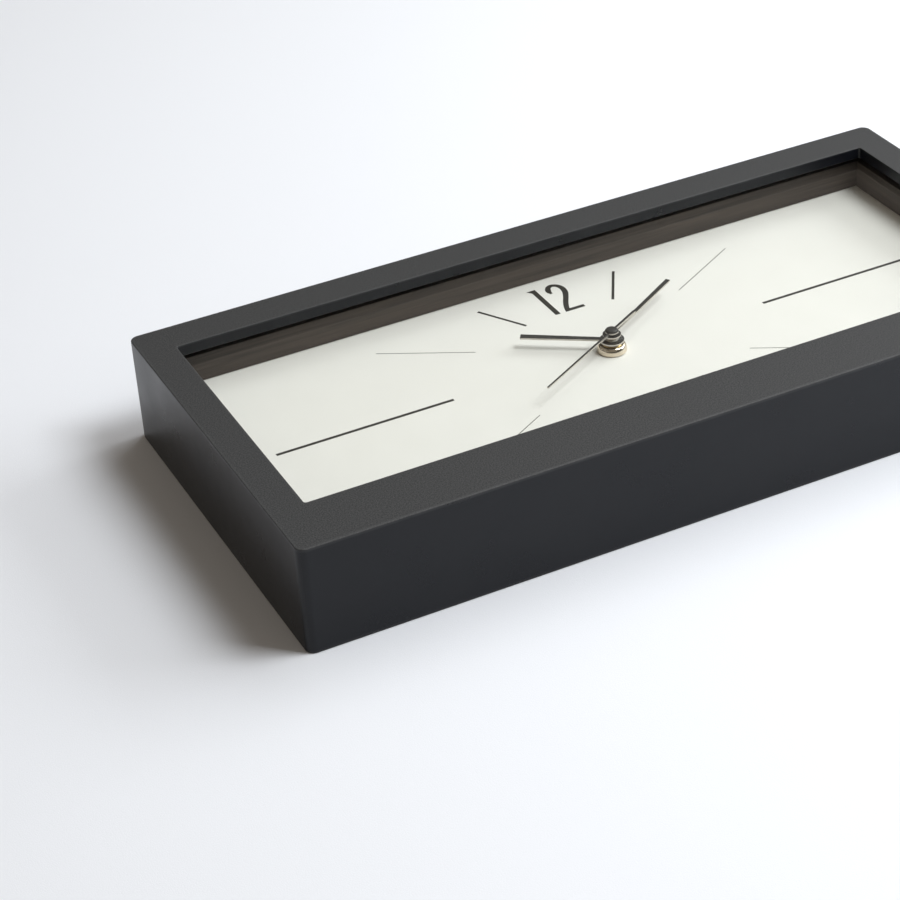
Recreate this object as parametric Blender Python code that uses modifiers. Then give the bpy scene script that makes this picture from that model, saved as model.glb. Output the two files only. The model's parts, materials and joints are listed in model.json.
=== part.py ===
"""A wide rectangular wall clock in a black wooden box frame, with a battery quartz movement.

The clock lies on its back: +Z comes out of the dial, +Y points to twelve and +X to three.
The origin is the middle of the frame's back. Sizes are in millimetres and MM makes them metres.
"""

import math

import bmesh
import bpy
from mathutils import Matrix, Vector

MM = 0.001

# Frame
WIDTH = 331.0
HEIGHT = 160.0
DEPTH = 43.0
SIDE_RAIL = 13.4
TOP_RAIL = 15.7
BOTTOM_RAIL = 25.2
LIP = 4.8
REBATE = 5.0
CORNER_RADIUS = 3.5
EDGE_EASE = 0.7
MITRE_SLIDE = 0.2

# Layers behind the lip, each with a hair of air to its neighbour
GAP = 0.3
GLASS_THICK = 2.0
SPACER_SETBACK = 2.2
DIAL_DEPTH = 19.2
CARD_THICK = 0.5
BOARD_THICK = 2.5
BATTEN_BACK = 3.2
BATTEN = 8.0
HANGER_BATTEN = 18.0

# Movement case
CASE_SIDE = 56.0
CASE_WALL = 1.2
CASE_CORNER = 3.0
CASE_FRONT = 19.3
CASE_BACK = 4.3
CASE_SPLIT = 11.65
BAY_RIB_LOW = -12.1
BAY_RIB_HIGH = -10.9
BAY_CEILING = 18.3
WASHER_THICK = 0.6
WASHER_RADIUS = 9.0

# Centre tubes, from the outside in
BUSH_RADIUS = 3.8
BUSH_BORE = 2.6
BUSH_TOP = 27.4
BUSH_HOLE = 4.1
HOUR_TUBE = 2.52
HOUR_BORE = 1.72
MINUTE_TUBE = 1.65
MINUTE_BORE = 0.7
SECOND_ARBOR = 0.6

# Heights of the wheels, back to front
DRIVE_Z = 7.2
SECOND_Z = 8.8
THIRD_Z = 10.6
BRIDGE_Z = 11.7
CENTRE_Z = 12.9
MOTION_Z = 14.6
HOUR_Z = 16.0
WHEEL_THICK = 0.8
BRIDGE_THICK = 0.8
PIVOT_LOW = 4.9
PIVOT_HIGH = 18.6
BRIDGE_PIVOT = 12.2

# Tooth counts and modules
GOING_MODULE = 0.3
CENTRE_MODULE = 0.3 * 68 / 72
CANNON_MODULE = 0.35
HOUR_MODULE = 0.35 * 48 / 50
ROTOR_PINION = 8
DRIVE_WHEEL = 40
DRIVE_PINION = 10
SECOND_WHEEL = 60
SECOND_PINION = 8
THIRD_WHEEL = 60
THIRD_PINION = 8
CENTRE_WHEEL = 64
CANNON_PINION = 12
MOTION_WHEEL = 36
MOTION_PINION = 10
HOUR_WHEEL = 40
SETTING_PINION = 12

# Directions of the axes seen from the front, in degrees
THIRD_DIRECTION = 150.0
DRIVE_DIRECTION = 30.0
ROTOR_DIRECTION = 80.0
MOTION_DIRECTION = -20.0
SETTING_DIRECTION = 20.0

# Hands, set to nine minutes and forty seconds past ten
HOUR_HAND_Z = 28.2
MINUTE_HAND_Z = 30.6
SECOND_HAND_Z = 32.0
HOUR_LENGTH = 35.0
MINUTE_LENGTH = 46.0
SECOND_LENGTH = 46.0
SECOND_TAIL = 17.0
SECONDS_SHOWN = 40.0
MINUTES_SHOWN = 9.0 + SECONDS_SHOWN / 60.0
HOURS_SHOWN = 10.0 + MINUTES_SHOWN / 60.0

# Worked out from the above
OPEN_WIDTH = WIDTH - 2 * SIDE_RAIL
OPEN_HEIGHT = HEIGHT - TOP_RAIL - BOTTOM_RAIL
DIAL_Y = (BOTTOM_RAIL - TOP_RAIL) / 2
OPEN_TOP = DIAL_Y + OPEN_HEIGHT / 2
OPEN_BOTTOM = DIAL_Y - OPEN_HEIGHT / 2
CAVITY_X = OPEN_WIDTH / 2 + REBATE
CAVITY_TOP = OPEN_TOP + REBATE
CAVITY_BOTTOM = OPEN_BOTTOM - REBATE
DIAL_FACE = DEPTH - DIAL_DEPTH
CARD_BACK = DIAL_FACE - CARD_THICK
BOARD_FRONT = CARD_BACK - GAP
BOARD_BACK = BOARD_FRONT - BOARD_THICK
BATTEN_FRONT = BOARD_BACK - GAP
GLASS_FRONT = DEPTH - LIP - GAP
GLASS_BACK = GLASS_FRONT - GLASS_THICK
CENTRE = Vector((0.0, DIAL_Y))

PARTS = "wall_clock"
CUTTERS = "cutters"


def clear_scene():
    for obj in list(bpy.data.objects):
        bpy.data.objects.remove(obj)
    for name in (PARTS, CUTTERS):
        bpy.context.scene.collection.children.link(bpy.data.collections.new(name))


def finish(name, colour, roughness, metallic=0.0, transmission=0.0):
    """The Principled material of this name, made the first time it is asked for."""
    found = bpy.data.materials.get(name)
    if found:
        return found
    made = bpy.data.materials.new(name)
    made.use_nodes = True
    shader = made.node_tree.nodes["Principled BSDF"]
    shader.inputs["Base Color"].default_value = (*colour, 1.0)
    shader.inputs["Roughness"].default_value = roughness
    shader.inputs["Metallic"].default_value = metallic
    shader.inputs["Transmission Weight"].default_value = transmission
    return made


def black_paint():
    return finish("black_paint", (0.045, 0.047, 0.05), 0.6)


def brown_stain():
    return finish("brown_stain", (0.04, 0.03, 0.025), 0.7)


def raw_wood():
    return finish("raw_wood", (0.48, 0.34, 0.2), 0.75)


def fibreboard():
    return finish("fibreboard", (0.3, 0.2, 0.12), 0.8)


def dial_paper():
    return finish("dial_paper", (0.86, 0.86, 0.82), 0.55)


def clear_glass():
    return finish("clear_glass", (0.98, 0.99, 0.99), 0.02, 0.0, 1.0)


def hand_enamel():
    return finish("hand_enamel", (0.02, 0.02, 0.02), 0.45, 0.3)


def brass():
    return finish("brass", (0.72, 0.52, 0.24), 0.25, 1.0)


def nickel():
    return finish("nickel", (0.75, 0.7, 0.62), 0.2, 1.0)


def steel():
    return finish("steel", (0.55, 0.55, 0.56), 0.35, 1.0)


def copper_wire():
    return finish("copper_wire", (0.6, 0.25, 0.1), 0.35, 1.0)


def black_rubber():
    return finish("black_rubber", (0.02, 0.02, 0.02), 0.8)


def case_plastic():
    return finish("case_plastic", (0.03, 0.03, 0.032), 0.5)


def wheel_plastic():
    return finish("wheel_plastic", (0.8, 0.8, 0.76), 0.45)


def circuit_resin():
    return finish("circuit_resin", (0.03, 0.2, 0.08), 0.5)


def battery_wrap():
    return finish("battery_wrap", (0.08, 0.09, 0.1), 0.35, 0.2)


def place(obj, collection, material, location):
    """Puts an object in a collection at a place in millimetres."""
    obj.location = Vector(location) * MM
    bpy.data.collections[collection].objects.link(obj)
    if material:
        obj.data.materials.clear()
        obj.data.materials.append(material)
    if collection == CUTTERS:
        obj.hide_render = True
        obj.display_type = "WIRE"
    return obj


def object_from(bm, name, collection, material, location):
    """Makes a bmesh, whose points are in millimetres, into an object."""
    bmesh.ops.scale(bm, vec=(MM, MM, MM), verts=bm.verts)
    mesh = bpy.data.meshes.new(name)
    bm.to_mesh(mesh)
    bm.free()
    mesh.shade_smooth()
    mesh.set_sharp_from_angle(angle=math.radians(35))
    return place(bpy.data.objects.new(name, mesh), collection, material, location)


def block(name, low, high, material=None, collection=PARTS, corner=0.0):
    """A rectangular block between two corners, with its origin in its middle.

    corner rounds the four edges that stand along Z.
    """
    low = Vector(low)
    high = Vector(high)
    bm = bmesh.new()
    bmesh.ops.create_cube(bm, size=1.0)
    bmesh.ops.scale(bm, vec=high - low, verts=bm.verts)
    if corner:
        upright = [e for e in bm.edges if abs(e.verts[0].co.z - e.verts[1].co.z) > 1e-6]
        bmesh.ops.bevel(bm, geom=upright, offset=corner, segments=4, profile=0.5, affect="EDGES")
    return object_from(bm, name, collection, material, (low + high) / 2)


def rod(name, centre, radius, low, high, material=None, collection=PARTS, segments=32, along="Z"):
    """A round rod from low to high along X, Y or Z. centre holds its other two coordinates."""
    bm = bmesh.new()
    depth = high - low
    bmesh.ops.create_cone(bm, cap_ends=True, segments=segments, radius1=radius, radius2=radius, depth=depth)
    middle = (low + high) / 2
    if along == "X":
        bmesh.ops.rotate(bm, verts=bm.verts, matrix=Matrix.Rotation(math.pi / 2, 3, "Y"))
        location = (middle, centre[0], centre[1])
    elif along == "Y":
        bmesh.ops.rotate(bm, verts=bm.verts, matrix=Matrix.Rotation(math.pi / 2, 3, "X"))
        location = (centre[0], middle, centre[1])
    else:
        location = (centre[0], centre[1], middle)
    return object_from(bm, name, collection, material, location)


def prism(name, outline, low, high, material=None, collection=PARTS, centre=(0.0, 0.0)):
    """A flat outline made solid from height low to height high, with its origin at centre."""
    curve = bpy.data.curves.new(name, "CURVE")
    curve.dimensions = "2D"
    curve.fill_mode = "BOTH"
    curve.extrude = (high - low) / 2 * MM
    spline = curve.splines.new("POLY")
    spline.points.add(len(outline) - 1)
    for point, (x, y) in zip(spline.points, outline):
        point.co = (x * MM, y * MM, 0.0, 1.0)
    spline.use_cyclic_u = True
    drawn = bpy.data.objects.new(name + "_outline", curve)
    bpy.context.scene.collection.objects.link(drawn)
    graph = bpy.context.evaluated_depsgraph_get()
    mesh = bpy.data.meshes.new_from_object(drawn.evaluated_get(graph))
    bpy.data.objects.remove(drawn)
    bm = bmesh.new()
    bm.from_mesh(mesh)
    bmesh.ops.remove_doubles(bm, verts=bm.verts, dist=1e-7)
    bmesh.ops.recalc_face_normals(bm, faces=bm.faces)
    bmesh.ops.scale(bm, vec=(1 / MM, 1 / MM, 1 / MM), verts=bm.verts)
    return object_from(bm, name, collection, material, (centre[0], centre[1], (low + high) / 2))


def turned(name, profile, material, centre, height=0.0, steps=32):
    """A profile of (radius, height) points turned about Z. It runs down the outer side."""
    bm = bmesh.new()
    points = [bm.verts.new((radius, 0.0, z)) for radius, z in profile]
    for first, second in zip(points, points[1:] + points[:1]):
        if first.co.x > 0 or second.co.x > 0:
            bm.edges.new((first, second))
    obj = object_from(bm, name, PARTS, material, (centre[0], centre[1], height))
    screw = obj.modifiers.new("Turn", "SCREW")
    screw.steps = steps
    screw.render_steps = steps
    screw.use_merge_vertices = True
    screw.merge_threshold = 1e-6
    screw.use_smooth_shade = True
    return obj


def boolean(obj, tool, operation):
    modifier = obj.modifiers.new(operation.title(), "BOOLEAN")
    modifier.object = tool
    modifier.operation = operation
    return obj


def cut(obj, *tools):
    for tool in tools:
        boolean(obj, tool, "DIFFERENCE")
    return obj


def join(obj, *pieces):
    for piece in pieces:
        boolean(obj, piece, "UNION")
    return obj


def polar(radius, degrees, centre=(0.0, 0.0)):
    angle = math.radians(degrees)
    return Vector((centre[0] + radius * math.cos(angle), centre[1] + radius * math.sin(angle)))


def spacing(teeth_a, teeth_b, module):
    """Distance between the axes of two wheels in mesh."""
    return (teeth_a + teeth_b) * module / 2


THIRD_AXIS = polar(spacing(SECOND_PINION, THIRD_WHEEL, GOING_MODULE), THIRD_DIRECTION, CENTRE)
DRIVE_AXIS = polar(spacing(DRIVE_PINION, SECOND_WHEEL, GOING_MODULE), DRIVE_DIRECTION, CENTRE)
ROTOR_AXIS = polar(spacing(ROTOR_PINION, DRIVE_WHEEL, GOING_MODULE), ROTOR_DIRECTION, DRIVE_AXIS)
MOTION_AXIS = polar(spacing(CANNON_PINION, MOTION_WHEEL, CANNON_MODULE), MOTION_DIRECTION, CENTRE)
SETTING_AXIS = polar(spacing(SETTING_PINION, MOTION_WHEEL, CANNON_MODULE), SETTING_DIRECTION, MOTION_AXIS)


def gear_outline(teeth, module, towards, gap_first):
    """Points round a toothed ring. towards is the direction of its partner in degrees:
    a tooth is centred there, or a gap if gap_first is true."""
    pitch_radius = teeth * module / 2
    tip = pitch_radius + 0.7 * module
    root = pitch_radius - 1.05 * module
    step = 360.0 / teeth
    phase = towards + (step / 2 if gap_first else 0.0)
    outline = []
    for tooth in range(teeth):
        middle = phase + tooth * step
        outline.append(polar(root, middle - 0.27 * step))
        outline.append(polar(tip, middle - 0.11 * step))
        outline.append(polar(tip, middle + 0.11 * step))
        outline.append(polar(root, middle + 0.27 * step))
    return outline


def gear(name, centre, teeth, module, low, high, towards, gap_first, material=None, collection=CUTTERS):
    outline = gear_outline(teeth, module, towards, gap_first)
    return prism(name, outline, low, high, material, collection, centre)


def wheel(name, centre, teeth, module, low, towards, gap_first, material):
    """The wide toothed disc that the rest of a wheel is joined to."""
    return gear(name, centre, teeth, module, low, low + WHEEL_THICK, towards, gap_first, material, PARTS)


def frame_cutters():
    """The window through the front and the wider rebate behind its lip."""
    window = block(
        "window_cutter",
        (-OPEN_WIDTH / 2, OPEN_BOTTOM, -1.0),
        (OPEN_WIDTH / 2, OPEN_TOP, DEPTH + 1.0),
        collection=CUTTERS,
    )
    rebate = block(
        "rebate_cutter",
        (-CAVITY_X, CAVITY_BOTTOM, -1.0),
        (CAVITY_X, CAVITY_TOP, DEPTH - LIP),
        collection=CUTTERS,
    )
    return window, rebate


def mitre_wedge(name, side):
    """The four-sided outline that holds one rail, cut along the mitres at its ends."""
    corners = {}
    for sx in (-1, 1):
        for sy in (-1, 1):
            outer = Vector((sx * WIDTH / 2, sy * HEIGHT / 2))
            inner = Vector((sx * OPEN_WIDTH / 2, OPEN_TOP if sy > 0 else OPEN_BOTTOM))
            run = inner - outer
            corners[sx, sy] = (outer - run, inner + run)
    ends = {
        "top": ((-1, 1), (1, 1)),
        "bottom": ((-1, -1), (1, -1)),
        "left": ((-1, -1), (-1, 1)),
        "right": ((1, -1), (1, 1)),
    }
    first, second = ends[side]
    along = Vector((1.0, 0.0)) if side in ("top", "bottom") else Vector((0.0, 1.0))
    slide = along * MITRE_SLIDE
    outline = [
        corners[first][0] + slide,
        corners[first][1] + slide,
        corners[second][1] - slide,
        corners[second][0] - slide,
    ]
    return prism(name, outline, -1.0, DEPTH + 1.0, collection=CUTTERS)


def frame_rail(side, cutters):
    """One mitred rail of the box frame, with eased outer edges and a rounded corner at each end."""
    bm = bmesh.new()
    bmesh.ops.create_cube(bm, size=1.0)
    bmesh.ops.scale(bm, vec=(WIDTH, HEIGHT, DEPTH), verts=bm.verts)
    upright = [e for e in bm.edges if abs(e.verts[0].co.z - e.verts[1].co.z) > 1.0]
    bmesh.ops.bevel(bm, geom=upright, offset=CORNER_RADIUS, segments=5, profile=0.5, affect="EDGES")
    rims = [e for e in bm.edges if abs(e.verts[0].co.z - e.verts[1].co.z) < 0.01]
    bmesh.ops.bevel(bm, geom=rims, offset=EDGE_EASE, segments=2, profile=0.5, affect="EDGES")
    rail = object_from(bm, "rail_" + side, PARTS, black_paint(), (0.0, 0.0, DEPTH / 2))
    boolean(rail, mitre_wedge("mitre_" + side, side), "INTERSECT")
    return cut(rail, *cutters)


def frame_rails():
    cutters = frame_cutters()
    return {side: frame_rail(side, cutters) for side in ("top", "bottom", "left", "right")}


def glass_pane():
    slack = 0.5
    block(
        "glass_pane",
        (-CAVITY_X + slack, CAVITY_BOTTOM + slack, GLASS_BACK),
        (CAVITY_X - slack, CAVITY_TOP - slack, GLASS_FRONT),
        clear_glass(),
    )


def spacer_strips():
    """Four strips that hold the glass off the dial and line the walls between them."""
    low = DIAL_FACE + GAP
    high = GLASS_BACK - GAP
    outer_x = CAVITY_X - GAP
    upper = OPEN_TOP + SPACER_SETBACK
    lower = OPEN_BOTTOM - SPACER_SETBACK
    material = brown_stain()
    block("spacer_top", (-outer_x, upper, low), (outer_x, CAVITY_TOP - GAP, high), material)
    block("spacer_bottom", (-outer_x, CAVITY_BOTTOM + GAP, low), (outer_x, lower, high), material)
    for name, sign in (("spacer_left", -1), ("spacer_right", 1)):
        xs = sorted((sign * (OPEN_WIDTH / 2 + GAP), sign * outer_x))
        block(name, (xs[0], lower + GAP, low), (xs[1], upper - GAP, high), material)


def dial_layers():
    """The printed card and the stiff board behind it, both pierced for the centre bush."""
    hole = rod("dial_hole", CENTRE, BUSH_HOLE, BOARD_BACK - 1.0, DIAL_FACE + 1.0, collection=CUTTERS)
    low = Vector((-CAVITY_X + GAP, CAVITY_BOTTOM + GAP))
    high = Vector((CAVITY_X - GAP, CAVITY_TOP - GAP))
    card = block("dial_card", (*low, CARD_BACK), (*high, DIAL_FACE), dial_paper())
    board = block("dial_board", (*low, BOARD_BACK), (*high, BOARD_FRONT), fibreboard())
    cut(card, hole)
    cut(board, hole)


def battens():
    """Four wooden battens behind the dial board. The top one is wide, because it carries the hanger."""
    outer_x = CAVITY_X - GAP
    top_high = CAVITY_TOP - GAP
    top_low = top_high - HANGER_BATTEN
    bottom_low = CAVITY_BOTTOM + GAP
    bottom_high = bottom_low + BATTEN
    material = raw_wood()
    made = {}
    for side, name, low_y, high_y in (
        ("top", "hanger_batten", top_low, top_high),
        ("bottom", "batten_bottom", bottom_low, bottom_high),
    ):
        low = (-outer_x, low_y, BATTEN_BACK)
        high = (outer_x, high_y, BATTEN_FRONT)
        made[side] = block(name, low, high, material)
    for side, sign in (("left", -1), ("right", 1)):
        xs = sorted((sign * (outer_x - BATTEN), sign * outer_x))
        low = (xs[0], bottom_high + GAP, BATTEN_BACK)
        high = (xs[1], top_low - GAP, BATTEN_FRONT)
        made[side] = block("batten_" + side, low, high, material)
    return made


def batten_screw(name, head, direction, length, batten, rail):
    """A pan-head wood screw that goes level from the inner face of a batten into its rail."""
    shank_radius = 1.2
    hole_radius = 1.5
    head_radius = 2.4
    head_height = 1.5
    profile = [
        (0.0, head_height + GAP),
        (head_radius * 0.7, head_height + GAP),
        (head_radius, head_height * 0.5 + GAP),
        (head_radius, GAP),
        (shank_radius, GAP),
        (shank_radius, -length + 3.0),
        (0.0, -length),
    ]
    turn = Vector((0.0, 0.0, -1.0)).rotation_difference(Vector((*direction, 0.0)))
    screw = turned(name, profile, steel(), head[:2], head[2], steps=16)
    screw.rotation_mode = "QUATERNION"
    screw.rotation_quaternion = turn
    start = Vector(head) - Vector((*direction, 0.0))
    end = Vector(head) + Vector((*direction, 0.0)) * (length + 0.6)
    if direction[0]:
        low, high = sorted((start.x, end.x))
        centre, along = (head[1], head[2]), "X"
    else:
        low, high = sorted((start.y, end.y))
        centre, along = (head[0], head[2]), "Y"
    hole = rod(name + "_hole", centre, hole_radius, low, high, None, CUTTERS, 16, along)
    cut(batten, hole)
    cut(rail, hole)


def batten_screws(batten, rail):
    height = (BATTEN_BACK + BATTEN_FRONT) / 2
    lower = CAVITY_BOTTOM + GAP + BATTEN
    upper = CAVITY_TOP - GAP - HANGER_BATTEN
    inner_x = CAVITY_X - GAP - BATTEN
    screws = [("left", "left", (-inner_x, DIAL_Y), (-1, 0), 14.0)]
    screws.append(("right", "right", (inner_x, DIAL_Y), (1, 0), 14.0))
    for index, x in enumerate((-110.0, 0.0, 110.0), 1):
        screws.append((f"bottom_{index}", "bottom", (x, lower), (0, -1), 18.0))
    for index, x in enumerate((-110.0, 110.0), 1):
        screws.append((f"top_{index}", "top", (x, upper), (0, 1), 25.0))
    for name, side, head, direction, length in screws:
        place = (*head, height)
        batten_screw("batten_screw_" + name, place, direction, length, batten[side], rail[side])


def sawtooth_hanger(batten):
    """A bent steel strip with teeth along its lower edge, screwed to the wide batten."""
    width = 12.0
    half = 22.0
    thick = 0.8
    foot = BATTEN_BACK - GAP
    stand_off = 1.4
    lower = foot - thick
    middle_y = CAVITY_TOP - GAP - HANGER_BATTEN / 2
    outline = [
        (-half, foot),
        (-half, lower),
        (-12.5, lower),
        (-10.5, lower - stand_off),
        (10.5, lower - stand_off),
        (12.5, lower),
        (half, lower),
        (half, foot),
        (12.2, foot),
        (10.2, foot - stand_off),
        (-10.2, foot - stand_off),
        (-12.2, foot),
    ]
    strip = prism("sawtooth_hanger", outline, -width / 2, width / 2, steel())
    strip.location = (0.0, middle_y * MM, 0.0)
    strip.rotation_euler = (math.pi / 2, 0.0, 0.0)
    tooth = 2.6
    teeth = 7
    edge = -width / 2
    zigzag = [(-teeth * tooth / 2, edge - 1.0)]
    for index in range(teeth):
        left = (index - teeth / 2) * tooth
        zigzag += [(left, edge + 0.2), (left + tooth / 2, edge + 2.0)]
    zigzag += [(teeth * tooth / 2, edge + 0.2), (teeth * tooth / 2, edge - 1.0)]
    cut(strip, prism("hanger_teeth", zigzag, -1.0, BATTEN_BACK, collection=CUTTERS, centre=(0.0, middle_y)))
    for name, x in (("hanger_screw_left", -17.0), ("hanger_screw_right", 17.0)):
        hanger_screw(name, (x, middle_y), lower - GAP, strip, batten)


def hanger_screw(name, centre, seat, strip, batten):
    """A small screw whose head bears on the back of the hanger at height seat."""
    length = 10.0
    shank_radius = 1.0
    head_radius = 2.2
    head_height = 0.9
    profile = [
        (0.0, length),
        (shank_radius, length - 2.0),
        (shank_radius, 0.0),
        (head_radius, 0.0),
        (head_radius, -0.5),
        (1.6, -head_height),
        (0.0, -head_height),
    ]
    turned(name, profile, steel(), centre, seat, steps=16)
    hole = rod(
        name + "_hole",
        centre,
        1.3,
        seat - 1.0,
        seat + length + 0.6,
        collection=CUTTERS,
        segments=16,
    )
    cut(strip, hole)
    cut(batten, hole)


def ring_profile(outer, inner, low, high):
    return [(outer, high), (outer, low), (inner, low), (inner, high)]


def centre_fastening():
    """What clamps the movement to the dial: flanged bush, domed nut and rubber washer."""
    flange = 4.6
    low = 17.2
    flange_top = 17.8
    profile = [
        (BUSH_RADIUS, BUSH_TOP),
        (BUSH_RADIUS, flange_top),
        (flange, flange_top),
        (flange, low),
        (BUSH_BORE, low),
        (BUSH_BORE, BUSH_TOP),
    ]
    turned("centre_bush", profile, brass(), CENTRE, steps=40)
    nut_low = DIAL_FACE + GAP
    nut_radius = 5.7
    top_radius = 4.5
    shoulder = nut_low + 0.9
    dome = 2.1
    profile = []
    for step in range(6):
        angle = math.pi / 2 * (1 - step / 5)
        radius = top_radius + (nut_radius - top_radius) * math.cos(angle)
        profile.append((radius, shoulder + dome * math.sin(angle)))
    profile += [(nut_radius, nut_low), (BUSH_HOLE, nut_low), (BUSH_HOLE, shoulder + dome)]
    turned("hand_nut", profile, nickel(), CENTRE, steps=40)
    washer_high = BOARD_BACK - GAP
    profile = ring_profile(WASHER_RADIUS, BUSH_HOLE, washer_high - WASHER_THICK, washer_high)
    turned("rubber_washer", profile, black_rubber(), CENTRE)


def case_half(name, low, high, wall_side):
    """One half of the movement's square case. wall_side is 1 if its broad wall is in front."""
    half = CASE_SIDE / 2
    inner = half - CASE_WALL
    x, y = CENTRE
    corners = (x - half, y - half, low), (x + half, y + half, high)
    shell = block(name, *corners, case_plastic(), corner=CASE_CORNER)
    if wall_side > 0:
        heights = (low - 1.0, high - CASE_WALL)
        bay_heights = (low - 1.0, BAY_CEILING)
    else:
        heights = (low + CASE_WALL, high + 1.0)
        bay_heights = (low - 1.0, high + 1.0)
    room = block(
        name + "_room",
        (x - inner, y + BAY_RIB_HIGH, heights[0]),
        (x + inner, y + inner, heights[1]),
        collection=CUTTERS,
        corner=1.0,
    )
    bay = block(
        name + "_bay",
        (x - inner, y - inner, bay_heights[0]),
        (x + inner, y + BAY_RIB_LOW, bay_heights[1]),
        collection=CUTTERS,
        corner=1.0,
    )
    return cut(shell, room, bay)


def pivot(name, centre, radius, low, high):
    """A thin upright rod, used for bearing posts and to cut bearing holes."""
    return rod(name, centre, radius, low, high, collection=CUTTERS, segments=16)


def movement_case():
    """Front and back halves of the case, with the posts and bearing holes that the wheels turn in."""
    front = case_half("movement_front_case", CASE_SPLIT + GAP / 2, CASE_FRONT, 1)
    back = case_half("movement_back_cover", CASE_BACK, CASE_SPLIT - GAP / 2, -1)
    inside_front = CASE_FRONT - CASE_WALL
    posts = [("motion_post", MOTION_AXIS, 0.6, MOTION_Z - 0.3)]
    for index, x in enumerate((-21.5, 21.5), 1):
        post_at = (CENTRE.x + x, CENTRE.y - 8.0)
        posts.append((f"bridge_post_{index}", post_at, 1.5, BRIDGE_Z + BRIDGE_THICK + GAP))
    for name, axis, radius, low in posts:
        join(front, pivot(name, axis, radius, low, inside_front + 0.5))
    cut(front, rod("bush_hole", CENTRE, BUSH_HOLE, CASE_FRONT - 3.0, CASE_FRONT + 1.0, collection=CUTTERS))
    cut(front, pivot("third_front_hole", THIRD_AXIS, 0.55, inside_front - 1.0, PIVOT_HIGH + 0.2))
    for name, axis, radius in (
        ("second_back_hole", CENTRE, 0.7),
        ("third_back_hole", THIRD_AXIS, 0.55),
        ("drive_back_hole", DRIVE_AXIS, 0.5),
        ("rotor_back_hole", ROTOR_AXIS, 0.45),
    ):
        cut(back, pivot(name, axis, radius, PIVOT_LOW - 0.2, CASE_BACK + CASE_WALL + 1.0))
    cut(back, pivot("setting_back_hole", SETTING_AXIS, 1.35, CASE_BACK - 1.0, CASE_BACK + CASE_WALL + 1.0))


def gear_bridge():
    """The flat plate between the going train and the hand train that carries their inner bearings."""
    x, y = CENTRE
    top = BRIDGE_Z + BRIDGE_THICK
    corners = (x - 24.0, y - 10.3, BRIDGE_Z), (x + 24.0, y + 15.2, top)
    plate = block("gear_bridge", *corners, case_plastic(), corner=1.5)
    for name, axis, radius in (
        ("bridge_centre", CENTRE, 0.75),
        ("bridge_third", THIRD_AXIS, 1.6),
        ("bridge_drive", DRIVE_AXIS, 0.5),
        ("bridge_rotor", ROTOR_AXIS, 0.45),
        ("bridge_setting", SETTING_AXIS, 1.6),
    ):
        cut(plate, pivot(name + "_hole", axis, radius, BRIDGE_Z - 1.0, top + 1.0))


def rotor():
    body = rod("rotor", ROTOR_AXIS, 3.0, 8.9, 11.4, steel())
    pinion = gear(
        "rotor_pinion",
        ROTOR_AXIS,
        ROTOR_PINION,
        GOING_MODULE,
        DRIVE_Z - 0.2,
        9.2,
        ROTOR_DIRECTION + 180.0,
        True,
    )
    arbor = rod("rotor_arbor", ROTOR_AXIS, 0.35, PIVOT_LOW, BRIDGE_PIVOT, collection=CUTTERS, segments=16)
    join(body, pinion, arbor)


def drive_wheel():
    body = wheel(
        "drive_wheel",
        DRIVE_AXIS,
        DRIVE_WHEEL,
        GOING_MODULE,
        DRIVE_Z,
        ROTOR_DIRECTION,
        False,
        wheel_plastic(),
    )
    pinion = gear(
        "drive_pinion",
        DRIVE_AXIS,
        DRIVE_PINION,
        GOING_MODULE,
        DRIVE_Z + 0.4,
        SECOND_Z + 1.0,
        DRIVE_DIRECTION + 180.0,
        True,
    )
    arbor = rod("drive_arbor", DRIVE_AXIS, 0.4, PIVOT_LOW, BRIDGE_PIVOT, collection=CUTTERS, segments=16)
    join(body, pinion, arbor)


def second_wheel():
    body = wheel(
        "second_wheel",
        CENTRE,
        SECOND_WHEEL,
        GOING_MODULE,
        SECOND_Z,
        DRIVE_DIRECTION,
        False,
        wheel_plastic(),
    )
    pinion = gear(
        "second_pinion",
        CENTRE,
        SECOND_PINION,
        GOING_MODULE,
        SECOND_Z + 0.4,
        BRIDGE_Z - GAP,
        THIRD_DIRECTION,
        True,
    )
    arbor = rod(
        "second_arbor",
        CENTRE,
        SECOND_ARBOR,
        PIVOT_LOW,
        SECOND_HAND_Z + 0.6,
        collection=CUTTERS,
        segments=24,
    )
    join(body, pinion, arbor)


def third_wheel():
    towards_centre = THIRD_DIRECTION + 180.0
    body = wheel(
        "third_wheel",
        THIRD_AXIS,
        THIRD_WHEEL,
        GOING_MODULE,
        THIRD_Z,
        towards_centre,
        False,
        wheel_plastic(),
    )
    pinion = gear(
        "third_pinion",
        THIRD_AXIS,
        THIRD_PINION,
        CENTRE_MODULE,
        CENTRE_Z - 0.1,
        CENTRE_Z + 1.0,
        towards_centre,
        True,
    )
    arbor = rod("third_arbor", THIRD_AXIS, 0.45, PIVOT_LOW, PIVOT_HIGH, collection=CUTTERS, segments=16)
    join(body, pinion, arbor)


def minute_wheel():
    """The centre wheel with its cannon pinion and the tube that carries the minute hand."""
    body = wheel(
        "minute_wheel",
        CENTRE,
        CENTRE_WHEEL,
        CENTRE_MODULE,
        CENTRE_Z,
        THIRD_DIRECTION,
        False,
        wheel_plastic(),
    )
    pinion = gear(
        "cannon_pinion",
        CENTRE,
        CANNON_PINION,
        CANNON_MODULE,
        CENTRE_Z + 0.4,
        MOTION_Z + 1.0,
        MOTION_DIRECTION,
        True,
    )
    tube = rod("minute_tube", CENTRE, MINUTE_TUBE, CENTRE_Z + 0.2, MINUTE_HAND_Z + 0.8, collection=CUTTERS)
    bore = rod(
        "minute_bore",
        CENTRE,
        MINUTE_BORE,
        CENTRE_Z - 1.0,
        MINUTE_HAND_Z + 2.0,
        collection=CUTTERS,
        segments=24,
    )
    join(body, pinion, tube)
    cut(body, bore)


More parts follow.
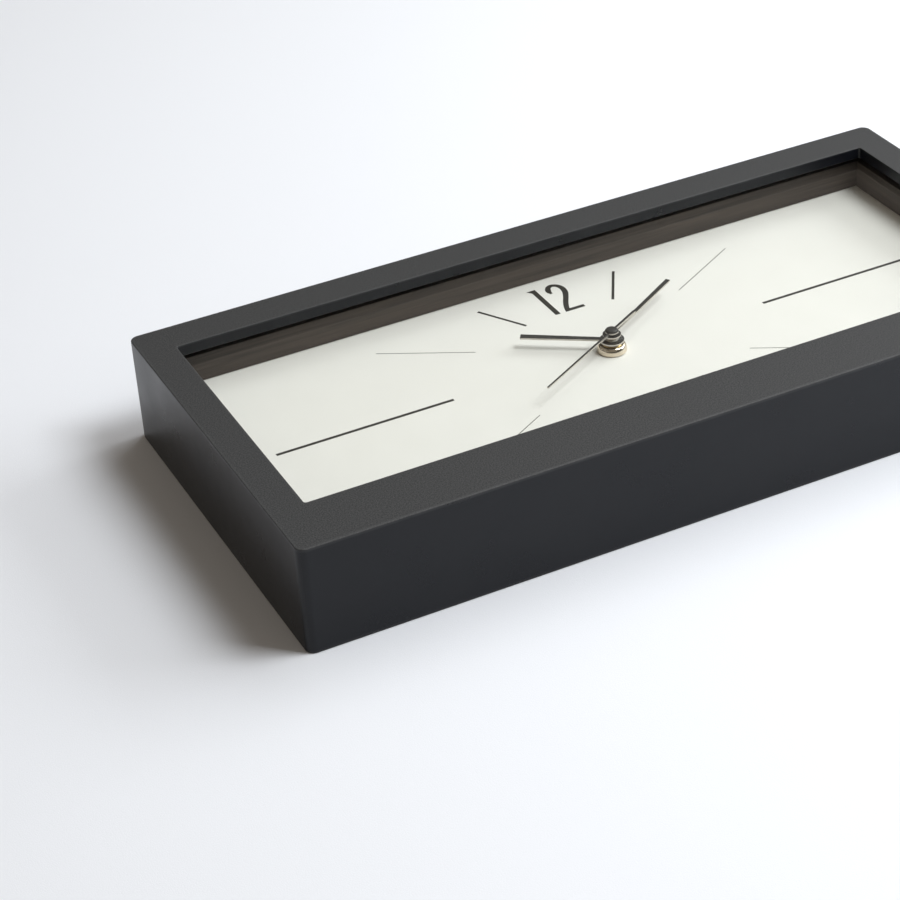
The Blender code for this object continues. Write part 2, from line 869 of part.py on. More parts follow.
def motion_wheel():
    towards_centre = MOTION_DIRECTION + 180.0
    body = wheel(
        "motion_wheel",
        MOTION_AXIS,
        MOTION_WHEEL,
        CANNON_MODULE,
        MOTION_Z,
        towards_centre,
        False,
        wheel_plastic(),
    )
    pinion = gear(
        "motion_pinion",
        MOTION_AXIS,
        MOTION_PINION,
        HOUR_MODULE,
        MOTION_Z + 0.4,
        HOUR_Z + 1.0,
        towards_centre,
        True,
    )
    bore = rod(
        "motion_bore",
        MOTION_AXIS,
        0.7,
        MOTION_Z - 1.0,
        HOUR_Z + 2.0,
        collection=CUTTERS,
        segments=16,
    )
    join(body, pinion)
    cut(body, bore)


def hour_wheel():
    body = wheel(
        "hour_wheel",
        CENTRE,
        HOUR_WHEEL,
        HOUR_MODULE,
        HOUR_Z,
        MOTION_DIRECTION,
        False,
        wheel_plastic(),
    )
    tube = rod("hour_tube", CENTRE, HOUR_TUBE, HOUR_Z + 0.2, HOUR_HAND_Z + 0.8, collection=CUTTERS)
    bore = rod("hour_bore", CENTRE, HOUR_BORE, HOUR_Z - 1.0, HOUR_HAND_Z + 2.0, collection=CUTTERS)
    join(body, tube)
    cut(body, bore)


def setting_parts():
    """The knob at the back and the shaft whose pinion turns the motion wheel."""
    step = 360.0 / MOTION_WHEEL
    tooth_off = (SETTING_DIRECTION - (MOTION_DIRECTION + 180.0)) % step
    pinion_turn = tooth_off * MOTION_WHEEL / SETTING_PINION
    towards = SETTING_DIRECTION + 180.0 + pinion_turn
    shaft = rod("setting_pinion", SETTING_AXIS, 1.2, 1.6, MOTION_Z + 0.4, wheel_plastic())
    pinion = gear(
        "setting_teeth",
        SETTING_AXIS,
        SETTING_PINION,
        CANNON_MODULE,
        MOTION_Z - 0.1,
        MOTION_Z + 1.0,
        towards,
        True,
    )
    join(shaft, pinion)
    knob_low = 1.0
    knob_high = 3.9
    flutes = 18
    outline = []
    for flute in range(flutes):
        middle = flute * 360.0 / flutes
        outline += [polar(5.0, middle - 6.0), polar(5.0, middle + 6.0), polar(4.6, middle + 10.0)]
    knob = prism("setting_knob", outline, knob_low, knob_high, case_plastic(), centre=SETTING_AXIS)
    cut(knob, rod("knob_socket", SETTING_AXIS, 1.25, 1.55, knob_high + 1.0, collection=CUTTERS))


def hand_blade(start, end, root_width, tip_width):
    return [(start, -root_width / 2), (end, -tip_width / 2), (end, tip_width / 2), (start, root_width / 2)]


def clock_angle(share):
    """The turn about Z that points a hand at this share of a full round, clockwise from twelve."""
    return math.radians(90.0 - 360.0 * share)


def hour_hand():
    thick = 0.7
    low = HOUR_HAND_Z
    high = low + thick
    hub = rod("hour_hand", CENTRE, 4.7, low, high, hand_enamel(), segments=40)
    outline = hand_blade(3.2, HOUR_LENGTH, 2.1, 2.8)
    blade = prism("hour_blade", outline, low, high, collection=CUTTERS, centre=CENTRE)
    collet = rod("hour_collet", CENTRE, 3.3, low - 0.5, low + 0.4, collection=CUTTERS)
    blade.rotation_euler.z = clock_angle(HOURS_SHOWN / 12.0)
    join(hub, blade, collet)
    cut(hub, rod("hour_collet_bore", CENTRE, HOUR_TUBE + 0.05, low - 2.0, low + 2.0, collection=CUTTERS))


def minute_hand():
    thick = 0.6
    low = MINUTE_HAND_Z
    high = low + thick
    hub = rod("minute_hand", CENTRE, 3.5, low, high, hand_enamel(), segments=40)
    outline = hand_blade(2.2, MINUTE_LENGTH, 1.4, 1.9)
    blade = prism("minute_blade", outline, low, high, collection=CUTTERS, centre=CENTRE)
    collet = rod("minute_collet", CENTRE, 2.5, low - 0.9, low + 0.3, collection=CUTTERS)
    blade.rotation_euler.z = clock_angle(MINUTES_SHOWN / 60.0)
    join(hub, blade, collet)
    cut(hub, rod("minute_collet_bore", CENTRE, MINUTE_TUBE + 0.05, low - 2.0, low + 2.0, collection=CUTTERS))


def second_hand():
    """A slim needle with a tail, on a cap that closes the end of the arbor."""
    low = SECOND_HAND_Z
    hub = rod("second_hand", CENTRE, 2.8, low - 0.2, low + 1.2, hand_enamel(), segments=32)
    tip = 0.35
    middle = 0.5
    tail = 0.55
    outline = [
        (-SECOND_TAIL, -tail),
        (0.0, -middle),
        (SECOND_LENGTH, -tip),
        (SECOND_LENGTH, tip),
        (0.0, middle),
        (-SECOND_TAIL, tail),
    ]
    blade = prism("second_blade", outline, low, low + 0.5, collection=CUTTERS, centre=CENTRE)
    blade.rotation_euler.z = clock_angle(SECONDS_SHOWN / 60.0)
    join(hub, blade)
    socket_radius = SECOND_ARBOR + 0.05
    cut(hub, rod("second_socket", CENTRE, socket_radius, low - 2.0, low + 0.8, None, CUTTERS, 24))


def motor():
    """The stator plate, the coil core lying across it, and the bobbin with its winding."""
    x, y = CENTRE
    outline = [
        (-18.0, 15.6),
        (5.5, 15.6),
        (5.5, 7.9),
        (15.0, 7.9),
        (15.0, 25.0),
        (5.5, 25.0),
        (5.5, 17.8),
        (-15.6, 17.8),
        (-15.6, 25.0),
        (-18.0, 25.0),
    ]
    plate = prism("stator", outline, 9.4, 10.5, steel(), centre=(x, y))
    cut(plate, rod("stator_bore", ROTOR_AXIS, 3.4, 8.0, 12.0, collection=CUTTERS))
    block("coil_core", (x - 18.0, y + 21.0, 10.8), (x + 12.0, y + 23.6, 11.8), steel())
    coil_at = (y + 22.3, 11.3)
    bobbin = rod("coil_bobbin", coil_at, 2.2, x - 14.8, x + 3.8, case_plastic(), along="X")
    for name, low in (("bobbin_flange_left", -15.0), ("bobbin_flange_right", 3.2)):
        join(bobbin, rod(name, coil_at, 4.1, x + low, x + low + 0.8, collection=CUTTERS, along="X"))
    slot = block("bobbin_slot", (x - 20.0, y + 20.7, 10.5), (x + 10.0, y + 23.9, 12.1), collection=CUTTERS)
    cut(bobbin, slot)
    winding = rod("coil_winding", coil_at, 3.8, x - 13.9, x + 2.9, copper_wire(), along="X")
    cut(winding, rod("winding_bore", coil_at, 2.5, x - 16.0, x + 5.0, collection=CUTTERS, along="X"))


def electronics():
    x, y = CENTRE
    block("circuit_board", (x - 25.0, y + 8.6, 5.9), (x - 5.0, y + 26.0, 6.9), circuit_resin())
    blob_radius = 2.2
    blob_height = 1.1
    blob_base = 7.2
    dome = [(0.0, blob_base + blob_height)]
    for step in range(1, 5):
        angle = math.pi / 2 * (1 - step / 4)
        dome.append((blob_radius * math.cos(angle), blob_base + blob_height * math.sin(angle)))
    turned("chip_blob", [*dome, (0.0, blob_base)], black_rubber(), (x - 20.0, y + 12.0), steps=20)
    rod("quartz_crystal", (x - 14.5, 8.3), 1.05, y + 9.6, y + 15.6, nickel(), segments=20, along="Y")


def power():
    """The battery and the two sprung contacts at the ends of its bay."""
    x, y = CENTRE
    bay_y = y - 19.5
    bay_z = 10.8
    radius = 7.05
    profile = [
        (0.0, 25.2),
        (2.7, 25.2),
        (2.7, 24.2),
        (radius - 0.6, 24.2),
        (radius, 23.6),
        (radius, -24.4),
        (radius - 0.6, -24.9),
        (0.0, -24.9),
    ]
    cell = turned("battery", profile, battery_wrap(), (x, bay_y), bay_z, steps=40)
    cell.rotation_euler = (0.0, math.pi / 2, 0.0)
    flat = [(25.7, -4.5), (26.1, -4.5), (26.1, 4.5), (25.7, 4.5)]
    prism("contact_positive", flat, bay_z - 4.0, bay_z + 4.0, nickel(), centre=(x, bay_y))
    leaf = [(-26.5, -5.5), (-26.1, -5.5), (-25.3, 0.0), (-26.1, 5.5), (-26.5, 5.5), (-25.75, 0.0)]
    prism("contact_negative", leaf, bay_z - 3.5, bay_z + 3.5, nickel(), centre=(x, bay_y))


def build():
    clear_scene()
    rails = frame_rails()
    glass_pane()
    spacer_strips()
    dial_layers()
    timber = battens()
    batten_screws(timber, rails)
    sawtooth_hanger(timber["top"])
    centre_fastening()
    movement_case()
    gear_bridge()
    rotor()
    drive_wheel()
    second_wheel()
    third_wheel()
    minute_wheel()
    motion_wheel()
    hour_wheel()
    setting_parts()
    hour_hand()
    minute_hand()
    second_hand()
    motor()
    electronics()
    power()


build()
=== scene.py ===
"""The looks of a wide rectangular wall clock: a black box frame, a pale dial and three black hands.

The clock lies on its back, as in the CAD model: +Z comes out of the dial, +Y points to twelve and
+X to three. Everything is in metres. Sizes given in millimetres are multiplied by MM.
"""

import json
import math

import bmesh
import bpy
from mathutils import Matrix, Quaternion, Vector

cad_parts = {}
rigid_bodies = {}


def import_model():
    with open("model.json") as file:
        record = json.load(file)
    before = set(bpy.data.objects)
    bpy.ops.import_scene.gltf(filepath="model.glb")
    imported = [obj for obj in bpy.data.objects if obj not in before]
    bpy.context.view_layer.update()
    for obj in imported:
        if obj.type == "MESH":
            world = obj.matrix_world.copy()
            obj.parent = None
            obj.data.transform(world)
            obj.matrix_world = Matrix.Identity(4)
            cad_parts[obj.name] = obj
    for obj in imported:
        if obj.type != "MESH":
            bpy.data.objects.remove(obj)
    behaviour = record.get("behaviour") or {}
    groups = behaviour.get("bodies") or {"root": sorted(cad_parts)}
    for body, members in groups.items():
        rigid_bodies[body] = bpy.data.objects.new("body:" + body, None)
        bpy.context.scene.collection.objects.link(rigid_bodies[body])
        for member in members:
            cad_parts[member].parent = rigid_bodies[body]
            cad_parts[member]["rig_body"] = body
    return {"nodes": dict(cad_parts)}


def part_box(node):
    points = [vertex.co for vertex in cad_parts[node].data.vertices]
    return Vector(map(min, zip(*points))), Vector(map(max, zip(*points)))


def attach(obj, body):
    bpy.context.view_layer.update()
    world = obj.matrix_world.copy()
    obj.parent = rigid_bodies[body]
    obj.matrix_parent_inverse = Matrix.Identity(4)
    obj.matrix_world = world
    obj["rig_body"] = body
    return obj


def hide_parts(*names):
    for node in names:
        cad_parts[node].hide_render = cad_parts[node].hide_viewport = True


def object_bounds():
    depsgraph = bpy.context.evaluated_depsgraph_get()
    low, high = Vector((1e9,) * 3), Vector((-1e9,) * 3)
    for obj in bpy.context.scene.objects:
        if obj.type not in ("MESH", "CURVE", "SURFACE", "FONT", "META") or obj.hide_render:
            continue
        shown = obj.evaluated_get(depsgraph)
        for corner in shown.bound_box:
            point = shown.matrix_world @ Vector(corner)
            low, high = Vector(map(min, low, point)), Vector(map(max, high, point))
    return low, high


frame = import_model()
cad_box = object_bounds()

MM = 0.001

# Frame
OUTER_CORNER = 3.5 * MM
WINDOW_CORNER = 1.0 * MM
OUTER_EASE = 0.45 * MM
INNER_EASE = 0.3 * MM
LIP = 4.8 * MM
REBATE = 5.0 * MM
MITRE_SEAM = 0.001 * MM
MITRE_TURN = 45.0

# Dial print, measured from the centre of the dial
PRINT_THICK = 0.02 * MM
PRINT_LIFT = 0.01 * MM
LONG_MARKS = ((3, 9), 67.3, 138.9, 1.4, "black_ink")
HAIRLINE_MARKS = ((2, 4, 8, 10), 52.0, 90.2, 0.42, "grey_ink")
SHORT_MARKS = ((1, 5, 7, 11), 38.5, 60.9, 1.1, "black_ink")
LOWEST_MARK = ((6,), 38.7, 54.0, 1.25, "black_ink")

# Hands, set to nine minutes and forty seconds past ten
SECONDS_SHOWN = 40.0
MINUTES_SHOWN = 9.0 + SECONDS_SHOWN / 60.0
HOURS_SHOWN = 10.0 + MINUTES_SHOWN / 60.0

# Hands in millimetres: the low and high side of each blade above the clock's back, and lengths
HOUR_BLADE = 28.2, 28.9
MINUTE_BLADE = 30.6, 31.2
SECOND_BLADE = 32.0, 32.5
SECOND_RIB = 31.55, 32.4
HOUR_LENGTH = 35.0
MINUTE_LENGTH = 46.0
SECOND_LENGTH = 46.0
SECOND_TAIL = 17.0

# Camera
CAMERA_AT = (-0.39212, -0.70491, 0.51424)
CAMERA_AIM = (-0.08362, -0.02485, 0.0238)
CAMERA_LENS = 99.53
CAMERA_ROLL = -3.7666

# Soft lights: the way towards each, how far off, its width and height in metres and its power
DAYLIGHT = (0.93, 0.955, 1.0)
KEY_LIGHT = (2.2, -1.8, 4.9), 1.5, 0.5, 0.7, 15.5
WINDOW_LIGHT = (3.2, 1.1, 3.8), 1.6, 1.3, 1.3, 11.5
SIDE_LIGHT = (3.6, -0.4, 1.9), 1.6, 1.4, 0.7, 15.0
ROOM_COLOUR = (1.0, 0.88, 0.76)
ROOM_STRENGTH = 0.2


# ---------------------------------------------------------------- shader helpers


def add(tree, kind, inputs=None, **settings):
    """One shader node. inputs holds values, or the sockets that feed it."""
    node = tree.nodes.new("ShaderNode" + kind)
    for name, value in settings.items():
        setattr(node, name, value)
    feed(tree, node, inputs or {})
    return node


def feed(tree, node, inputs):
    for name, value in inputs.items():
        if isinstance(value, bpy.types.NodeSocket):
            tree.links.new(value, node.inputs[name])
        else:
            node.inputs[name].default_value = value


def surface(name):
    """A new material, with its node tree and its Principled shader."""
    material = bpy.data.materials.new(name)
    material.use_nodes = True
    tree = material.node_tree
    return material, tree, tree.nodes["Principled BSDF"]


def place_on(tree):
    """Where a point lies in its own object, which turns with the object."""
    return add(tree, "TexCoord").outputs["Object"]


def stretched(tree, where, along):
    """Coordinates that make a pattern this many times longer along each axis."""
    shrink = tuple(1.0 / times for times in along)
    return add(tree, "VectorMath", {0: where, 1: shrink}, operation="MULTIPLY").outputs[0]


def noise(tree, where, grain, detail=3.0, roughness=0.55, distortion=0.0):
    """Noise whose grains are about this wide, from 0 to 1."""
    inputs = {
        "Vector": where,
        "Scale": 1.0 / grain,
        "Detail": detail,
        "Roughness": roughness,
        "Distortion": distortion,
    }
    return add(tree, "TexNoise", inputs).outputs["Fac"]


def spread(tree, value, low, high, out_low=0.0, out_high=1.0):
    """Maps low to high onto out_low to out_high, and clamps it."""
    inputs = {0: value, 1: low, 2: high, 3: out_low, 4: out_high}
    return add(tree, "MapRange", inputs, clamp=True).outputs[0]


def mixed(tree, share, first, second):
    """A colour between two colours, each a socket or three numbers."""
    first, second = ((*c, 1.0) if isinstance(c, tuple) else c for c in (first, second))
    node = add(tree, "Mix", {0: share, 6: first, 7: second}, data_type="RGBA")
    return node.outputs[2]


def maths(tree, operation, first, second=0.0):
    return add(tree, "Math", {0: first, 1: second}, operation=operation).outputs[0]


def bumped(tree, height, depth, under=None):
    """A normal roughened by height, whose full range stands for this depth."""
    inputs = {"Height": height, "Distance": depth, "Strength": 1.0}
    if under:
        inputs["Normal"] = under
    return add(tree, "Bump", inputs).outputs["Normal"]


def facing_up(tree):
    """How far a face looks along Z, from 0 on a side to 1 on a front or back."""
    normal = add(tree, "TexCoord").outputs["Normal"]
    upward = add(tree, "SeparateXYZ", {0: normal}).outputs[2]
    return spread(tree, maths(tree, "ABSOLUTE", upward), 0.3, 0.8)


# ---------------------------------------------------------------- materials


def black_paint():
    """Sprayed black paint: grained and matte in front, smoother and satin on the sides, whose
    colour is painted darker as shade; the eased edges are painted lighter as wear and highlight.
    """
    material, tree, shader = surface("black_paint")
    where = place_on(tree)
    front = facing_up(tree)
    sand = noise(tree, where, 0.5 * MM, 5.0, 0.75)
    cloud = noise(tree, where, 22 * MM, 4.0)
    patches = spread(tree, cloud, 0.35, 0.65)
    # The sides get a far darker colour than the front: painted shade, for sides that less light
    # reaches.
    side_blotch_painted_shade = mixed(tree, patches, (0.003, 0.004, 0.007), (0.005, 0.006, 0.009))
    grains = spread(tree, sand, 0.4, 0.6)
    grained = mixed(tree, grains, (0.018, 0.019, 0.019), (0.068, 0.069, 0.068))
    # The eased edges are mixed towards grey: partly wear, partly a painted highlight along them.
    wear_and_highlight = add(tree, "Attribute", attribute_name="wear_and_highlight").outputs["Fac"]
    patchy = spread(tree, noise(tree, where, 9 * MM, 5.0), 0.3, 0.7, 0.5, 1.0)
    wear_and_highlight_share = maths(tree, "MULTIPLY", wear_and_highlight, maths(tree, "MULTIPLY", patchy, 0.35))
    colour = mixed(tree, wear_and_highlight_share, mixed(tree, front, side_blotch_painted_shade, grained), (0.1, 0.1, 0.1))
    rough_front = spread(tree, sand, 0.3, 0.7, 0.52, 0.66)
    rough_side = spread(tree, cloud, 0.3, 0.7, 0.26, 0.34)
    rough = add(tree, "Mix", {0: front, 2: rough_side, 3: rough_front}).outputs[0]
    coarse = bumped(tree, maths(tree, "MULTIPLY", sand, front), 0.04 * MM)
    fine = bumped(tree, noise(tree, where, 0.6 * MM, 3.0), 0.003 * MM, coarse)
    feed(
        tree,
        shader,
        {"Base Color": colour, "Roughness": rough, "Normal": fine, "Specular IOR Level": 0.3},
    )
    return material


def wood(name, along, dark, light, roughness, ring):
    """Straight-grained wood whose fibres run along X or Y."""
    material, tree, shader = surface(name)
    where = place_on(tree)
    pull = (28.0, 1.0, 1.0) if along == "X" else (1.0, 28.0, 1.0)
    lengthened = stretched(tree, where, pull)
    growth = noise(tree, lengthened, ring, 4.0, 0.6, 0.6)
    fibre = noise(tree, lengthened, 0.35 * MM, 4.0, 0.7)
    broad = maths(tree, "MULTIPLY", growth, 0.65)
    tone = maths(tree, "ADD", broad, maths(tree, "MULTIPLY", fibre, 0.35))
    colour = mixed(tree, spread(tree, tone, 0.35, 0.62), dark, light)
    pores = spread(tree, fibre, 0.25, 0.4)
    colour = mixed(tree, pores, tuple(0.55 * c for c in dark), colour)
    rough = spread(tree, fibre, 0.3, 0.7, roughness - 0.08, roughness + 0.1)
    feed(
        tree,
        shader,
        {"Base Color": colour, "Roughness": rough, "Normal": bumped(tree, fibre, 0.05 * MM)},
    )
    return material


def brown_stain(along):
    dark, light = (0.018, 0.013, 0.01), (0.058, 0.043, 0.033)
    return wood("brown_stain_" + along, along, dark, light, 0.6, 2.2 * MM)


def raw_wood(along):
    dark, light = (0.42, 0.26, 0.13), (0.62, 0.45, 0.27)
    return wood("raw_wood_" + along, along, dark, light, 0.68, 3.5 * MM)


def fibreboard():
    """Pressed brown fibres, lighter and darker flakes all ways."""
    material, tree, shader = surface("fibreboard")
    where = place_on(tree)
    flakes = noise(tree, stretched(tree, where, (1.0, 2.5, 1.0)), 0.9 * MM, 6.0, 0.75, 1.2)
    threads = noise(tree, stretched(tree, where, (3.0, 1.0, 1.0)), 0.4 * MM, 4.0, 0.7, 0.8)
    tone = maths(tree, "MULTIPLY", maths(tree, "ADD", flakes, threads), 0.5)
    colour = mixed(tree, spread(tree, tone, 0.35, 0.65), (0.16, 0.095, 0.05), (0.4, 0.27, 0.16))
    feed(
        tree,
        shader,
        {"Base Color": colour, "Roughness": 0.8, "Normal": bumped(tree, tone, 0.08 * MM)},
    )
    return material


def dial_paper():
    """Ivory printed card with a faint tooth."""
    material, tree, shader = surface("dial_paper")
    where = place_on(tree)
    mottle = noise(tree, where, 14 * MM, 3.0)
    tooth = noise(tree, where, 0.22 * MM, 4.0, 0.65)
    patches = spread(tree, mottle, 0.3, 0.7)
    colour = mixed(tree, patches, (0.855, 0.828, 0.765), (0.875, 0.848, 0.785))
    colour = mixed(tree, spread(tree, tooth, 0.2, 0.5), (0.825, 0.798, 0.735), colour)
    feed(
        tree,
        shader,
        {
            "Base Color": colour,
            "Roughness": spread(tree, tooth, 0.3, 0.7, 0.5, 0.62),
            "Normal": bumped(tree, tooth, 0.006 * MM),
        },
    )
    return material


def ink(name, colour):
    """Screen-printed ink, a little uneven."""
    material, tree, shader = surface(name)
    where = place_on(tree)
    cover = noise(tree, where, 0.5 * MM, 4.0, 0.6)
    lighter = tuple(1.35 * c + 0.006 for c in colour)
    tone = mixed(tree, spread(tree, cover, 0.4, 0.75), colour, lighter)
    feed(
        tree,
        shader,
        {
            "Base Color": tone,
            "Roughness": spread(tree, cover, 0.3, 0.7, 0.42, 0.55),
            "Normal": bumped(tree, cover, 0.004 * MM),
        },
    )
    return material


def clear_glass():
    """A thin clear pane: a mirror film over clear air, so that the dial under it stays lit."""
    material, tree, shader = surface("clear_glass")
    smear = noise(tree, place_on(tree), 30 * MM, 3.0, 0.6, 0.5)
    film = {"Color": (1.0, 1.0, 1.0, 1.0), "Roughness": spread(tree, smear, 0.45, 0.75, 0.0, 0.03)}
    mirror = add(tree, "BsdfGlossy", film)
    air = add(tree, "BsdfTransparent", {"Color": (0.985, 0.995, 0.99, 1.0)})
    outside = maths(tree, "SUBTRACT", 1.0, add(tree, "NewGeometry").outputs["Backfacing"])
    share = maths(tree, "MULTIPLY", add(tree, "Fresnel", {"IOR": 1.5}).outputs[0], outside)
    both = add(tree, "MixShader", {0: share, 1: air.outputs[0], 2: mirror.outputs[0]})
    tree.links.new(both.outputs[0], tree.nodes["Material Output"].inputs["Surface"])
    tree.nodes.remove(shader)
    return material


def hand_enamel():
    """Black enamel on the flat tops of the hands."""
    material, tree, shader = surface("hand_enamel")
    where = place_on(tree)
    peel = noise(tree, where, 0.35 * MM, 3.0, 0.6)
    cloud = spread(tree, noise(tree, where, 5 * MM, 3.0), 0.3, 0.7)
    feed(
        tree,
        shader,
        {
            "Base Color": mixed(tree, cloud, (0.018, 0.017, 0.015), (0.032, 0.03, 0.027)),
            "Roughness": spread(tree, peel, 0.3, 0.7, 0.38, 0.52),
            "Normal": bumped(tree, peel, 0.008 * MM),
        },
    )
    return material


def metal(name, dark, light, roughness, brush, grain, scratch_depth):
    """Worked metal with fine scratches along one axis and slow changes of tone."""
    material, tree, shader = surface(name)
    where = place_on(tree)
    scratches = noise(tree, stretched(tree, where, brush), grain, 4.0, 0.7)
    tarnish = noise(tree, where, 3 * MM, 4.0, 0.6)
    feed(
        tree,
        shader,
        {
            "Base Color": mixed(tree, spread(tree, tarnish, 0.3, 0.7), dark, light),
            "Metallic": 1.0,
            "Roughness": spread(tree, scratches, 0.25, 0.75, roughness * 0.75, roughness * 1.35),
            "Normal": bumped(tree, scratches, scratch_depth),
        },
    )
    return material


def bare_edge():
    dark, light = (0.5, 0.47, 0.43), (0.66, 0.63, 0.58)
    return metal("bare_edge", dark, light, 0.38, (6, 6, 1), 0.08 * MM, 0.004 * MM)


def brass():
    dark, light = (0.6, 0.4, 0.17), (0.8, 0.58, 0.3)
    return metal("brass", dark, light, 0.26, (8, 8, 1), 0.1 * MM, 0.004 * MM)


def nickel():
    dark, light = (0.66, 0.56, 0.43), (0.8, 0.72, 0.6)
    return metal("nickel", dark, light, 0.17, (10, 10, 1), 0.12 * MM, 0.002 * MM)


def steel():
    dark, light = (0.42, 0.42, 0.41), (0.6, 0.6, 0.6)
    return metal("steel", dark, light, 0.34, (1, 14, 14), 0.1 * MM, 0.006 * MM)


def copper_wire():
    """Enamelled wire wound in close turns round X."""
    material, tree, shader = surface("copper_wire")
    where = place_on(tree)
    turns = add(
        tree,
        "TexWave",
        {"Vector": where, "Scale": 0.314 / (0.16 * MM), "Distortion": 0.4},
        bands_direction="X",
    ).outputs["Fac"]
    tone = noise(tree, where, 1.5 * MM, 3.0)
    colour = mixed(tree, spread(tree, tone, 0.3, 0.7), (0.42, 0.13, 0.045), (0.66, 0.27, 0.1))
    # Darker copper in the grooves between turns: painted shade.
    colour = mixed(tree, spread(tree, turns, 0.0, 0.35), (0.12, 0.035, 0.015), colour)
    feed(
        tree,
        shader,
        {
            "Base Color": colour,
            "Metallic": 0.85,
            "Roughness": 0.28,
            "Normal": bumped(tree, turns, 0.05 * MM),
        },
    )
    return material


def moulded(name, dark, light, roughness, grain, depth):
    """Moulded plastic or rubber with a fine even texture."""
    material, tree, shader = surface(name)
    where = place_on(tree)
    texture = noise(tree, where, grain, 4.0, 0.6)
    flow = noise(tree, where, 9 * MM, 3.0, 0.5, 0.8)
    feed(
        tree,
        shader,
        {
            "Base Color": mixed(tree, spread(tree, flow, 0.3, 0.7), dark, light),
            "Roughness": spread(tree, texture, 0.3, 0.7, roughness - 0.06, roughness + 0.08),
            "Normal": bumped(tree, texture, depth),
        },
    )
    return material


def black_rubber():
    dark, light = (0.014, 0.014, 0.014), (0.026, 0.026, 0.026)
    return moulded("black_rubber", dark, light, 0.78, 0.3 * MM, 0.02 * MM)


def case_plastic():
    dark, light = (0.018, 0.018, 0.019), (0.03, 0.03, 0.031)
    return moulded("case_plastic", dark, light, 0.46, 0.25 * MM, 0.014 * MM)


def wheel_plastic():
    dark, light = (0.72, 0.71, 0.65), (0.82, 0.81, 0.76)
    return moulded("wheel_plastic", dark, light, 0.4, 0.2 * MM, 0.005 * MM)


def circuit_resin():
    """Green solder mask over copper tracks."""
    material, tree, shader = surface("circuit_resin")
    where = place_on(tree)
    grid = {
        "Vector": where,
        "Scale": 1.0,
        "Mortar Size": 0.35 * MM,
        "Brick Width": 4.5 * MM,
        "Row Height": 1.9 * MM,
    }
    tracks = add(tree, "TexBrick", grid).outputs["Fac"]
    weave = noise(tree, where, 0.3 * MM, 2.0)
    colour = mixed(tree, tracks, (0.012, 0.1, 0.04), (0.06, 0.2, 0.05))
    faded = spread(tree, weave, 0.3, 0.7, 0.0, 0.25)
    feed(
        tree,
        shader,
        {
            "Base Color": mixed(tree, faded, colour, (0.02, 0.06, 0.03)),
            "Roughness": spread(tree, weave, 0.3, 0.7, 0.3, 0.4),
            "Normal": bumped(tree, tracks, 0.03 * MM),
        },
    )
    return material


def battery_wrap():
    """Plain printed foil: a grey-green body with a pale band towards the raised end."""
    material, tree, shader = surface("battery_wrap")
    where = place_on(tree)
    along = add(tree, "SeparateXYZ", {0: where}).outputs[0]
    band = spread(tree, along, 11.6 * MM, 11.9 * MM)
    scuff = noise(tree, stretched(tree, where, (5, 1, 1)), 0.6 * MM, 4.0, 0.7)
    body = mixed(tree, spread(tree, scuff, 0.55, 0.8), (0.035, 0.09, 0.08), (0.1, 0.15, 0.14))
    colour = mixed(tree, band, body, (0.5, 0.51, 0.5))
    feed(
        tree,
        shader,
        {
            "Base Color": colour,
            "Metallic": spread(tree, band, 0.0, 1.0, 0.2, 0.4),
            "Roughness": spread(tree, scuff, 0.3, 0.7, 0.26, 0.4),
            "Normal": bumped(tree, scuff, 0.01 * MM),
        },
    )
    return material


def pale_cloth():
    """The plain pale surface that the clock lies on. Seen from underneath it isn't there."""
    material, tree, shader = surface("pale_cloth")
    where = place_on(tree)
    thread = noise(tree, where, 0.5 * MM, 4.0, 0.6)
    feed(
        tree,
        shader,
        {
            "Base Color": (0.84, 0.86, 0.88, 1.0),
            "Roughness": 0.9,
            "Normal": bumped(tree, thread, 0.05 * MM),
        },
    )
    below = add(tree, "NewGeometry").outputs["Backfacing"]
    nothing = add(tree, "BsdfTransparent")
    both = add(tree, "MixShader", {0: below, 1: shader.outputs[0], 2: nothing.outputs[0]})
    tree.links.new(both.outputs[0], tree.nodes["Material Output"].inputs["Surface"])
    return material


# ---------------------------------------------------------------- mesh helpers


def object_from(bm, name, *materials):
    """Makes a bmesh into an object at the origin, smooth but for its sharp edges."""
    mesh = bpy.data.meshes.new(name)
    bm.to_mesh(mesh)
    bm.free()
    mesh.shade_smooth()
    mesh.set_sharp_from_angle(angle=math.radians(38))
    for material in materials:
        mesh.materials.append(material)
    obj = bpy.data.objects.new(name, mesh)
    bpy.context.scene.collection.objects.link(obj)
    return obj


def stand_in(piece, slot, *nodes):
    """The piece stands for these CAD nodes and moves with their body."""
    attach(piece, frame["nodes"][nodes[0]]["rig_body"])
    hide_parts(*nodes)
    return piece


def lathe(name, profile, centre, steps=64, closed=True):
    """A profile of (radius, height) points in millimetres, turned about a line along Z."""
    bm = bmesh.new()
    points = [bm.verts.new((radius * MM, 0.0, height * MM)) for radius, height in profile]
    ends = points[1:] + (points[:1] if closed else [])
    edges = [bm.edges.new(pair) for pair in zip(points, ends)]
    bmesh.ops.spin(
        bm,
        geom=points + edges,
        cent=(0, 0, 0),
        axis=(0, 0, 1),
        angle=math.tau,
        steps=steps,
        use_merge=True,
    )
    bmesh.ops.remove_doubles(bm, verts=bm.verts, dist=0.001 * MM)
    bmesh.ops.recalc_face_normals(bm, faces=bm.faces)
    bmesh.ops.translate(bm, verts=bm.verts, vec=(centre[0], centre[1], 0.0))
    return object_from(bm, name)


